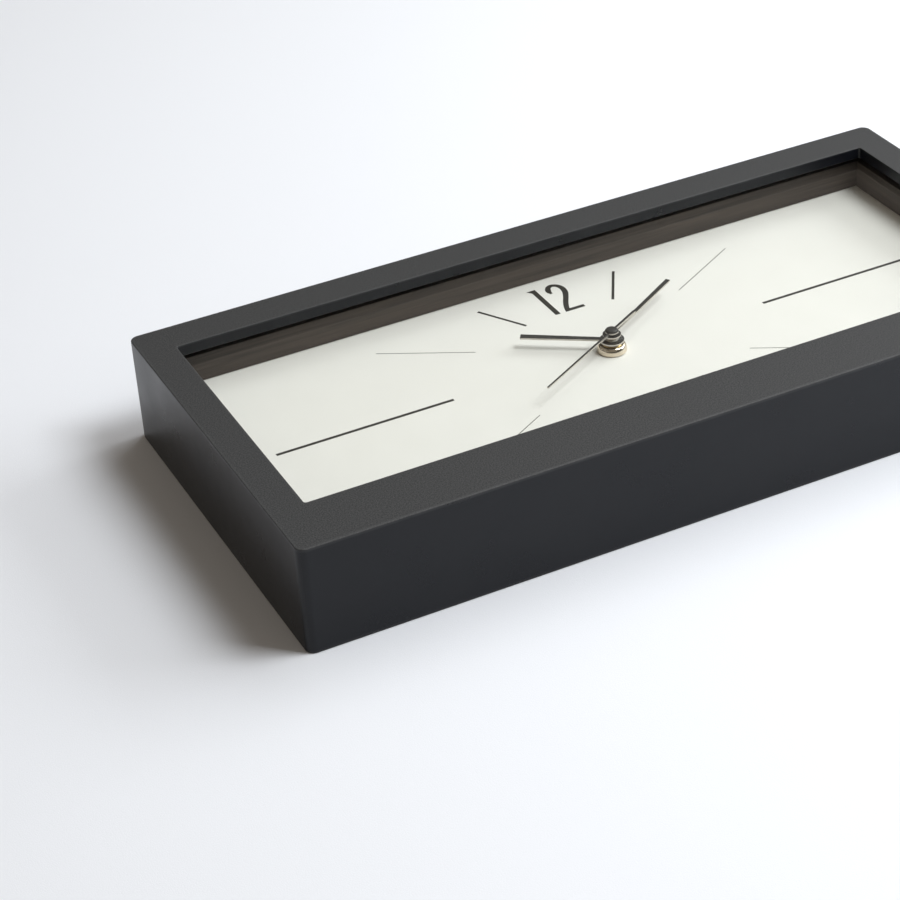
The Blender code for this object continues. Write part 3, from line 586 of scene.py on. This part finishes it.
def prism(name, outlines, low, high, turn=None):
    """Flat outlines in metres, the later ones holes in the first, made solid from low to high."""
    curve = bpy.data.curves.new(name, "CURVE")
    curve.dimensions = "2D"
    curve.fill_mode = "BOTH"
    curve.extrude = (high - low) / 2
    for outline in outlines:
        spline = curve.splines.new("POLY")
        spline.points.add(len(outline) - 1)
        for point, (x, y) in zip(spline.points, outline):
            point.co = (x, y, 0.0, 1.0)
        spline.use_cyclic_u = True
    drawn = bpy.data.objects.new(name + "_outline", curve)
    bpy.context.scene.collection.objects.link(drawn)
    graph = bpy.context.evaluated_depsgraph_get()
    mesh = bpy.data.meshes.new_from_object(drawn.evaluated_get(graph))
    bpy.data.objects.remove(drawn)
    bm = bmesh.new()
    bm.from_mesh(mesh)
    bpy.data.meshes.remove(mesh)
    bmesh.ops.remove_doubles(bm, verts=bm.verts, dist=0.0001 * MM)
    bmesh.ops.recalc_face_normals(bm, faces=bm.faces)
    bmesh.ops.translate(bm, verts=bm.verts, vec=(0, 0, (low + high) / 2))
    if turn:
        bmesh.ops.transform(bm, verts=bm.verts, matrix=turn)
    return object_from(bm, name)


def applied(obj):
    """Bakes the object's modifiers into its mesh."""
    graph = bpy.context.evaluated_depsgraph_get()
    mesh = bpy.data.meshes.new_from_object(obj.evaluated_get(graph))
    obj.modifiers.clear()
    obj.data = mesh
    return obj


def combine(obj, other, operation):
    """Joins or cuts with another object, which is used up."""
    modifier = obj.modifiers.new("Combine", "BOOLEAN")
    modifier.operation = operation
    modifier.object = other
    applied(obj)
    bpy.data.objects.remove(other)
    return obj


def eased(obj, width, segments=2, angle=35.0):
    """Softens the sharp edges, so that they catch the light."""
    modifier = obj.modifiers.new("Ease", "BEVEL")
    modifier.width = width
    modifier.segments = segments
    modifier.limit_method = "ANGLE"
    modifier.angle_limit = math.radians(angle)
    modifier.harden_normals = True
    return applied(obj)


def copied(node, name, material):
    """A cleaned copy of a CAD node's mesh, its triangles merged back into flat faces."""
    bm = bmesh.new()
    bm.from_mesh(frame["nodes"][node].data)
    bmesh.ops.remove_doubles(bm, verts=bm.verts, dist=0.001 * MM)
    bmesh.ops.dissolve_limit(bm, angle_limit=math.radians(0.5), verts=bm.verts, edges=bm.edges)
    return object_from(bm, name, material)


def refined(node, slot, material, width):
    """A copy of a CAD node with eased edges, which stands for that node."""
    return stand_in(eased(copied(node, node + "_eased", material), width), slot, node)


def paint(material, *nodes):
    """Gives CAD nodes whose shape is right their material."""
    for node in nodes:
        slots = frame["nodes"][node].data.materials
        slots.clear()
        slots.append(material)


# ---------------------------------------------------------------- frame


def heading(degrees):
    angle = math.radians(degrees)
    return Vector((math.cos(angle), math.sin(angle)))


def half_corner(centre, radius, start, steps):
    """Points on a rounded corner, from a heading to one MITRE_TURN further round."""
    turns = (start + MITRE_TURN * step / steps for step in range(steps + 1))
    return [centre + radius * heading(turn) for turn in turns]


def rectangle(low, high, grow, corner):
    """A rectangle with rounded corners, as its grown corners and radius."""
    return low - Vector((grow, grow)), high + Vector((grow, grow)), max(corner + grow, 0.05 * MM)


def rail_line(shape, side, arc_steps=6, cuts=12):
    """Points on one side of a rounded rectangle, from the middle of one corner to the next."""
    low, high, radius = shape
    corners = {
        "bottom": (Vector((low.x, low.y)), Vector((high.x, low.y)), 270.0),
        "right": (Vector((high.x, low.y)), Vector((high.x, high.y)), 0.0),
        "top": (Vector((high.x, high.y)), Vector((low.x, high.y)), 90.0),
        "left": (Vector((low.x, high.y)), Vector((low.x, low.y)), 180.0),
    }
    start, end, out = corners[side]
    along = (end - start).normalized()
    inward = Vector((-along.y, along.x))
    first = start + (along + inward) * radius
    last = end + (inward - along) * radius
    line = half_corner(first, radius, out - MITRE_TURN, arc_steps)
    straight = last - first
    edge = radius * heading(out)
    line += [first + edge + straight * (step / cuts) for step in range(1, cuts)]
    line += half_corner(last, radius, out, arc_steps)
    line[0] = line[0] + along * MITRE_SEAM
    line[-1] = line[-1] - along * MITRE_SEAM
    return line


def ease_steps(count=5):
    """Pairs of sine and cosine round a quarter turn, from the wall to the flat."""
    angles = (math.pi / 2 * step / count for step in range(count + 1))
    return [(math.sin(angle), math.cos(angle)) for angle in angles]


def rail_layers():
    """The frame's section as rings, each a rounded rectangle, a height and how much its edge is
    lightened, as wear and painted highlight.
    """
    outer_low, outer_high = (Vector(c[:2]) for c in cad_box)
    top = cad_box[1].z
    window_low = Vector((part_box("rail_left")[1].x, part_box("rail_bottom")[1].y))
    window_high = Vector((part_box("rail_right")[0].x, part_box("rail_top")[0].y))
    layers = []

    def outer(inset, height, wear_and_highlight=0.0):
        layers.append((rectangle(outer_low, outer_high, -inset, OUTER_CORNER), height, wear_and_highlight))

    def window(grow, height, wear_and_highlight=0.0):
        layers.append((rectangle(window_low, window_high, grow, WINDOW_CORNER), height, wear_and_highlight))

    for sine, cosine in reversed(ease_steps()):
        outer(OUTER_EASE * (1 - cosine), OUTER_EASE * (1 - sine), 0.6)
    outer(0.0, 3 * OUTER_EASE)
    outer(0.0, top - 3 * OUTER_EASE)
    for sine, cosine in ease_steps():
        outer(OUTER_EASE * (1 - cosine), top - OUTER_EASE * (1 - sine), 1.0)
    outer(3 * OUTER_EASE, top)
    window(3 * INNER_EASE, top)
    for sine, cosine in reversed(ease_steps()):
        window(INNER_EASE * (1 - cosine), top - INNER_EASE * (1 - sine), 0.7)
    window(0.0, top - 3 * INNER_EASE)
    window(0.0, top - LIP + INNER_EASE)
    window(INNER_EASE, top - LIP)
    window(REBATE, top - LIP)
    window(REBATE, 3 * INNER_EASE)
    window(REBATE, INNER_EASE)
    window(REBATE + INNER_EASE, 0.0)
    return layers


def close_end(bm, outline):
    """Closes a mitred end with triangles round a point inside the lip, the widest part."""
    just_under_lip = cad_box[1].z - 1.01 * LIP
    lip = [vertex.co for vertex in outline if vertex.co.z > just_under_lip]
    middle = bm.verts.new(sum(lip, Vector()) / len(lip))
    for pair in zip(outline, outline[1:] + outline[:1]):
        bm.faces.new((*pair, middle))


def painted_rail(side, layers, material):
    """One rail with mitred ends and rounded edges, lightened as wear and painted highlight."""
    bm = bmesh.new()
    wear_and_highlight = bm.verts.layers.float.new("wear_and_highlight")
    rings = []
    for shape, height, share in layers:
        ring = [bm.verts.new((x, y, height)) for x, y in rail_line(shape, side)]
        for vertex in ring:
            vertex[wear_and_highlight] = share
        rings.append(ring)
    for ring, following in zip(rings, rings[1:] + rings[:1]):
        for a, b, c, d in zip(ring, ring[1:], following[1:], following):
            bm.faces.new((a, b, c, d))
    for end in (0, -1):
        close_end(bm, [ring[end] for ring in rings])
    bmesh.ops.recalc_face_normals(bm, faces=bm.faces)
    piece = object_from(bm, f"rail_{side}_painted", material)
    stand_in(piece, "black_paint", "rail_" + side)


def painted_frame():
    material = black_paint()
    layers = rail_layers()
    for side in ("bottom", "right", "top", "left"):
        painted_rail(side, layers, material)


# ---------------------------------------------------------------- dial


def dial_centre():
    low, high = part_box("centre_bush")
    return (low + high) / 2


def clockwise(share):
    """The turn about Z, from X, that points at this share of a full round after twelve."""
    return math.radians(90.0 - 360.0 * share)


def printed(name, outline, material, centre):
    """A thin printed shape on the dial's face, outlined in millimetres from the centre."""
    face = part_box("dial_card")[1].z
    points = [(centre.x + x * MM, centre.y + y * MM) for x, y in outline]
    piece = prism(name, [points], face + PRINT_LIFT, face + PRINT_LIFT + PRINT_THICK)
    piece.data.materials.append(material)
    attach(piece, "frame")


def hour_marks(inks, centre):
    rows = (LONG_MARKS, HAIRLINE_MARKS, SHORT_MARKS, LOWEST_MARK)
    for hours, inner, outer, width, colour in rows:
        for hour in hours:
            turn = clockwise(hour / 12)
            along = Vector((math.cos(turn), math.sin(turn)))
            across = Vector((-along.y, along.x)) * width / 2
            near, far = along * inner, along * outer
            corners = (near - across, far - across, far + across, near + across)
            printed(f"hour_mark_{hour}", corners, inks[colour], centre)


def through(knots, share):
    """A smooth path of (x, y, width) through its knots, at a share of a knot's number."""
    index = min(int(share), len(knots) - 2)
    t = share - index
    before, first, second, after = (
        Vector(knots[min(max(index + step, 0), len(knots) - 1)]) for step in (-1, 0, 1, 2)
    )
    return 0.5 * (
        2 * first
        + (second - before) * t
        + (2 * before - 5 * first + 4 * second - after) * t * t
        + (3 * first - before - 3 * second + after) * t**3
    )


def brush_sides(knots, steps=6):
    """The left and right sides of a stroke of changing width."""
    total = (len(knots) - 1) * steps
    path = [through(knots, step / steps) for step in range(total + 1)]
    left, right = [], []
    for index, point in enumerate(path):
        run = path[min(index + 1, total)] - path[max(index - 1, 0)]
        across = Vector((-run.y, run.x)).normalized() * point.z / 2
        left.append(point.xy + across)
        right.append(point.xy - across)
    return left, right


def figure_one():
    """A slim stem with a wedge to the left of its top."""
    return [(-5.55, 34.5), (-3.4, 34.5), (-3.4, 56.1), (-7.1, 56.1), (-5.55, 54.0)]


def figure_two():
    """A curled head, a long slanting spine and a level foot."""
    knots = (
        (0.85, 49.9, 0.9),
        (0.75, 52.3, 2.2),
        (1.75, 54.6, 2.15),
        (3.6, 55.6, 1.95),
        (5.65, 54.5, 1.95),
        (6.6, 51.9, 2.25),
        (6.2, 48.6, 2.35),
        (4.7, 45.2, 2.2),
        (2.6, 41.4, 2.15),
        (1.0, 37.9, 2.1),
        (0.25, 35.6, 2.0),
    )
    left, right = brush_sides(knots)
    foot_low, foot_high = 34.5, 36.3
    inner = [point for point in left if point.y > foot_high]
    outer = [point for point in right if point.y > foot_low]
    foot = [(-0.95, foot_low), (7.6, foot_low), (7.6, foot_high), (1.6, foot_high)]
    return outer + [Vector(p) for p in foot] + inner[::-1]


def dial_print():
    colours = {"black_ink": (0.022, 0.02, 0.016), "grey_ink": (0.2, 0.195, 0.17)}
    inks = {name: ink(name, colour) for name, colour in colours.items()}
    centre = dial_centre()
    hour_marks(inks, centre)
    printed("figure_one", figure_one(), inks["black_ink"], centre)
    printed("figure_two", figure_two(), inks["black_ink"], centre)


# ---------------------------------------------------------------- hands and centre


def blade_with_hub(length, root, tip, hub, steps=48):
    """The outline of a hand along X: a round hub that runs into a tapered blade, in millimetres."""
    meet = math.asin(root / 2 / hub)
    arc = [meet + (math.tau - 2 * meet) * step / steps for step in range(steps + 1)]
    outline = [(hub * math.cos(a), hub * math.sin(a)) for a in arc]
    return outline + [(length, -tip / 2), (length, tip / 2)]


def circle(radius, steps=40):
    angles = (math.tau * step / steps for step in range(steps))
    return [(radius * math.cos(angle), radius * math.sin(angle)) for angle in angles]


def in_metres(outline):
    return [(x * MM, y * MM) for x, y in outline]


def turned_to(share, centre):
    return Matrix.Translation((centre.x, centre.y, 0.0)) @ Matrix.Rotation(clockwise(share), 4, "Z")


def hand_faces(hand, enamel, edge):
    """Enamel on the flat faces, bare metal where the blank was cut."""
    hand.data.materials.clear()
    hand.data.materials.append(enamel)
    hand.data.materials.append(edge)
    for face in hand.data.polygons:
        face.material_index = 0 if abs(face.normal.z) > 0.3 else 1


def flat_hand(node, heights, outlines, share, enamel, edge, ease):
    """A stamped hand with a hole in its hub. The first outline is its outside."""
    low, high = heights
    metres = [in_metres(outline) for outline in outlines]
    turn = turned_to(share, dial_centre())
    hand = prism(node + "_stamped", metres, low * MM, high * MM, turn)
    eased(hand, ease, 2, 60.0)
    hand_faces(hand, enamel, edge)
    return stand_in(hand, "hand_enamel", node)


def hands():
    enamel = hand_enamel()
    edge = bare_edge()
    gold = brass()
    hour = [blade_with_hub(HOUR_LENGTH, 2.1, 2.8, 4.7), circle(2.6)]
    flat_hand("hour_hand", HOUR_BLADE, hour, HOURS_SHOWN / 12.0, enamel, edge, 0.08 * MM)
    minute = [blade_with_hub(MINUTE_LENGTH, 1.4, 1.9, 3.5), circle(1.75)]
    flat_hand("minute_hand", MINUTE_BLADE, minute, MINUTES_SHOWN / 60.0, enamel, edge, 0.07 * MM)
    second_hand(enamel, edge)
    collar("hour_hand_collar", "hour_train", 3.3, 2.57, 27.7, 28.18, gold)
    collar("minute_hand_collar", "minute_train", 2.5, 1.7, 29.7, 30.58, gold)


def second_hand(enamel, edge):
    """A needle with a deeper tail and a round hub, under a smaller cap."""
    centre = dial_centre()
    turn = turned_to(SECONDS_SHOWN / 60.0, centre)
    tail, middle, tip = 0.55, 0.5, 0.35
    needle = [
        (-SECOND_TAIL, -tail),
        (0.0, -middle),
        (SECOND_LENGTH, -tip),
        (SECOND_LENGTH, tip),
        (0.0, middle),
        (-SECOND_TAIL, tail),
    ]
    rib_end, rib_half = 8.0, 0.47
    rib = [(-SECOND_TAIL, -tail), (rib_end, -rib_half), (rib_end, rib_half), (-SECOND_TAIL, tail)]
    hub = circle(2.6, 56)

    def part(name, outline, heights):
        low, high = heights
        return prism(name, [in_metres(outline)], low * MM, high * MM, turn)

    hand = part("second_hand_stamped", needle, SECOND_BLADE)
    combine(hand, part("second_hub", hub, SECOND_BLADE), "UNION")
    combine(hand, part("second_rib", rib, SECOND_RIB), "UNION")
    cap = [(0.0, 33.2), (1.9, 33.18), (2.2, 33.08), (2.32, 32.9), (2.32, 32.4), (0.0, 32.4)]
    combine(hand, lathe("second_cap", cap, centre, closed=False), "UNION")
    eased(hand, 0.04 * MM, 1, 60.0)
    hand_faces(hand, enamel, edge)
    just_over_blade = (SECOND_BLADE[1] + 0.02) * MM
    for face in hand.data.polygons:
        if face.center.z > just_over_blade:
            face.material_index = 0
    stand_in(hand, "hand_enamel", "second_hand")


def collar(name, body, outer, inner, low, high, material):
    """The pressed sleeve under a hand's hub."""
    ease = 0.12
    profile = [
        (outer - ease, high),
        (outer, high - ease),
        (outer, low + ease),
        (outer - ease, low),
        (inner, low),
        (inner, high),
    ]
    piece = lathe(name, profile, dial_centre())
    piece.data.materials.append(material)
    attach(piece, body)


def hand_nut():
    """The domed nut, polished from its crown to its foot."""
    low, high = 24.1, 27.1
    foot, crown, bore = 5.7, 4.45, 4.1
    shoulder = low + 0.35
    profile = [(bore, high - 0.1), (bore + 0.12, high), (crown, high)]
    for step in range(1, 11):
        angle = math.pi / 2 * (1 - step / 10)
        radius = crown + (foot - crown) * math.cos(angle)
        profile.append((radius, shoulder + (high - shoulder) * math.sin(angle)))
    profile += [(foot, low + 0.12), (foot - 0.12, low), (bore, low)]
    piece = lathe("hand_nut_polished", profile, dial_centre(), 96)
    piece.data.materials.append(nickel())
    stand_in(piece, "nickel", "hand_nut")


def centre_bush(material):
    """The threaded bush that the nut screws on to."""
    root, crest, pitch = 3.62, 3.8, 0.5
    low, flange_top, start, top = 17.2, 17.8, 19.6, 27.4
    profile = [(2.6, low), (2.6, top), (root, top)]
    height = top - 0.15
    while height > start:
        profile += [(crest, height - 0.08), (crest, height - 0.17), (root, height - pitch / 2)]
        height -= pitch / 2 + 0.1
    profile += [(crest, start), (crest, flange_top), (4.6, flange_top), (4.6, low)]
    piece = lathe("centre_bush_threaded", profile, dial_centre(), 72)
    piece.data.materials.append(material)
    stand_in(piece, "brass", "centre_bush")


# ---------------------------------------------------------------- back


def timber():
    rows = {"X": ("hanger_batten", "batten_bottom"), "Y": ("batten_left", "batten_right")}
    for along, nodes in rows.items():
        material = raw_wood(along)
        for node in nodes:
            refined(node, "raw_wood", material, 0.35 * MM)
    linings = {"X": ("spacer_top", "spacer_bottom"), "Y": ("spacer_left", "spacer_right")}
    for along, nodes in linings.items():
        material = brown_stain(along)
        for node in nodes:
            refined(node, "brown_stain", material, 0.2 * MM)


def recess_bar(centre, axis, reach, turn):
    """One of the two crossed bars that cut the recess in a screw's head."""
    bm = bmesh.new()
    bmesh.ops.create_cube(bm, size=1.0)
    bmesh.ops.scale(bm, verts=bm.verts, vec=(2 * reach, 0.45 * MM, 1.5 * MM))
    bmesh.ops.rotate(bm, verts=bm.verts, matrix=Matrix.Rotation(turn, 3, "Z"))
    lean = Vector((0, 0, 1)).rotation_difference(axis).to_matrix()
    bmesh.ops.rotate(bm, verts=bm.verts, matrix=lean)
    bmesh.ops.translate(bm, verts=bm.verts, vec=centre)
    return object_from(bm, "recess_bar")


def crossed_screw(node, material, out, reach):
    """A screw whose head looks along out, with a cross recess in it."""
    low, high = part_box(node)
    middle = (low + high) / 2
    half = Vector(abs(c) for c in out).dot((high - low) / 2)
    piece = copied(node, node + "_recessed", material)
    for turn in (0.0, math.pi / 2):
        combine(piece, recess_bar(middle + out * half, out, reach, turn), "DIFFERENCE")
    stand_in(piece, "steel", node)


def fastenings(material):
    for number in (1, 2, 3):
        crossed_screw(f"batten_screw_bottom_{number}", material, Vector((0, 1, 0)), 1.3 * MM)
    for number in (1, 2):
        crossed_screw(f"batten_screw_top_{number}", material, Vector((0, -1, 0)), 1.3 * MM)
    crossed_screw("batten_screw_left", material, Vector((1, 0, 0)), 1.3 * MM)
    crossed_screw("batten_screw_right", material, Vector((-1, 0, 0)), 1.3 * MM)
    for side in ("left", "right"):
        crossed_screw("hanger_screw_" + side, material, Vector((0, 0, -1)), 1.2 * MM)
    refined("sawtooth_hanger", "steel", material, 0.12 * MM)


def movement(plastic):
    refined("movement_back_cover", "case_plastic", plastic, 0.3 * MM)
    refined("movement_front_case", "case_plastic", plastic, 0.3 * MM)
    refined("setting_knob", "case_plastic", plastic, 0.15 * MM)


def battery():
    """A dry cell: foil sleeve, crimped steel ends and a raised button."""
    low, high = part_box("battery")
    axis = (low + high) / 2
    radius = (high.z - low.z) / 2 / MM
    start, end = low.x / MM, high.x / MM
    profile = [
        (0.0, end),
        (2.55, end),
        (2.7, end - 0.12),
        (2.7, end - 0.95),
        (5.9, end - 1.0),
        (radius - 0.45, end - 1.05),
        (radius - 0.1, end - 1.25),
        (radius, end - 1.6),
        (radius, start + 0.8),
        (radius - 0.15, start + 0.4),
        (radius - 0.5, start + 0.2),
        (5.6, start + 0.25),
        (5.2, start),
        (0.0, start),
    ]
    piece = lathe("battery_cell", profile, Vector((0, 0, 0)), 64, closed=False)
    lie = Matrix.Translation((0.0, axis.y, axis.z)) @ Matrix.Rotation(math.pi / 2, 4, "Y")
    piece.data.transform(lie)
    piece.data.materials.append(battery_wrap())
    piece.data.materials.append(bpy.data.materials["steel"])
    for face in piece.data.polygons:
        reach = (face.center.yz - axis.yz).length
        face.material_index = 0 if reach > (radius - 0.6) * MM else 1
    stand_in(piece, "battery_wrap", "battery")


def carried_over(plastic, grey):
    """Materials for the CAD nodes that stay as they are."""
    white = wheel_plastic()
    rubber = black_rubber()
    for wheel in ("drive", "second", "third", "minute", "motion", "hour"):
        paint(white, wheel + "_wheel")
    paint(white, "setting_pinion")
    paint(plastic, "gear_bridge", "coil_bobbin")
    paint(grey, "stator", "coil_core", "rotor")
    paint(bpy.data.materials["nickel"], "quartz_crystal", "contact_positive", "contact_negative")
    paint(rubber, "rubber_washer", "chip_blob")
    paint(copper_wire(), "coil_winding")
    paint(circuit_resin(), "circuit_board")
    paint(dial_paper(), "dial_card")
    paint(fibreboard(), "dial_board")
    paint(clear_glass(), "glass_pane")


# ---------------------------------------------------------------- setting


def floor():
    bm = bmesh.new()
    bmesh.ops.create_grid(bm, x_segments=8, y_segments=8, size=3.0)
    bmesh.ops.translate(bm, verts=bm.verts, vec=(0, 0, cad_box[0].z - 0.05 * MM))
    object_from(bm, "floor", pale_cloth())


def room():
    """The dim warm room that fills the shadows."""
    world = bpy.data.worlds.new("room")
    world.use_nodes = True
    background = world.node_tree.nodes["Background"]
    background.inputs["Color"].default_value = (*ROOM_COLOUR, 1.0)
    background.inputs["Strength"].default_value = ROOM_STRENGTH
    bpy.context.scene.world = world


def soft_light(name, settings):
    """A rectangular lamp in that direction from the clock, which faces it."""
    way, far, wide, high, power = settings
    lamp = bpy.data.lights.new(name, "AREA")
    lamp.shape = "RECTANGLE"
    lamp.size = wide
    lamp.size_y = high
    lamp.energy = power
    lamp.color = DAYLIGHT
    light = bpy.data.objects.new(name, lamp)
    towards = Vector(way).normalized()
    light.location = towards * far
    light.rotation_mode = "QUATERNION"
    light.rotation_quaternion = towards.to_track_quat("Z", "Y")
    bpy.context.scene.collection.objects.link(light)


def lights():
    room()
    soft_light("key_light", KEY_LIGHT)
    soft_light("window_light", WINDOW_LIGHT)
    soft_light("side_light", SIDE_LIGHT)


def camera():
    lens = bpy.data.cameras.new("camera")
    lens.lens = CAMERA_LENS
    lens.sensor_width = 36.0
    taker = bpy.data.objects.new("camera", lens)
    taker.location = CAMERA_AT
    aim = Vector(CAMERA_AIM) - Vector(CAMERA_AT)
    roll = Quaternion((0.0, 0.0, 1.0), math.radians(CAMERA_ROLL))
    taker.rotation_mode = "QUATERNION"
    taker.rotation_quaternion = aim.to_track_quat("-Z", "Y") @ roll
    bpy.context.scene.collection.objects.link(taker)
    bpy.context.scene.camera = taker


def build():
    painted_frame()
    dial_print()
    hands()
    hand_nut()
    centre_bush(bpy.data.materials["brass"])
    timber()
    grey = steel()
    fastenings(grey)
    plastic = case_plastic()
    movement(plastic)
    battery()
    carried_over(plastic, grey)
    floor()
    lights()
    camera()
    bpy.context.scene.view_settings.view_transform = "Standard"


build()
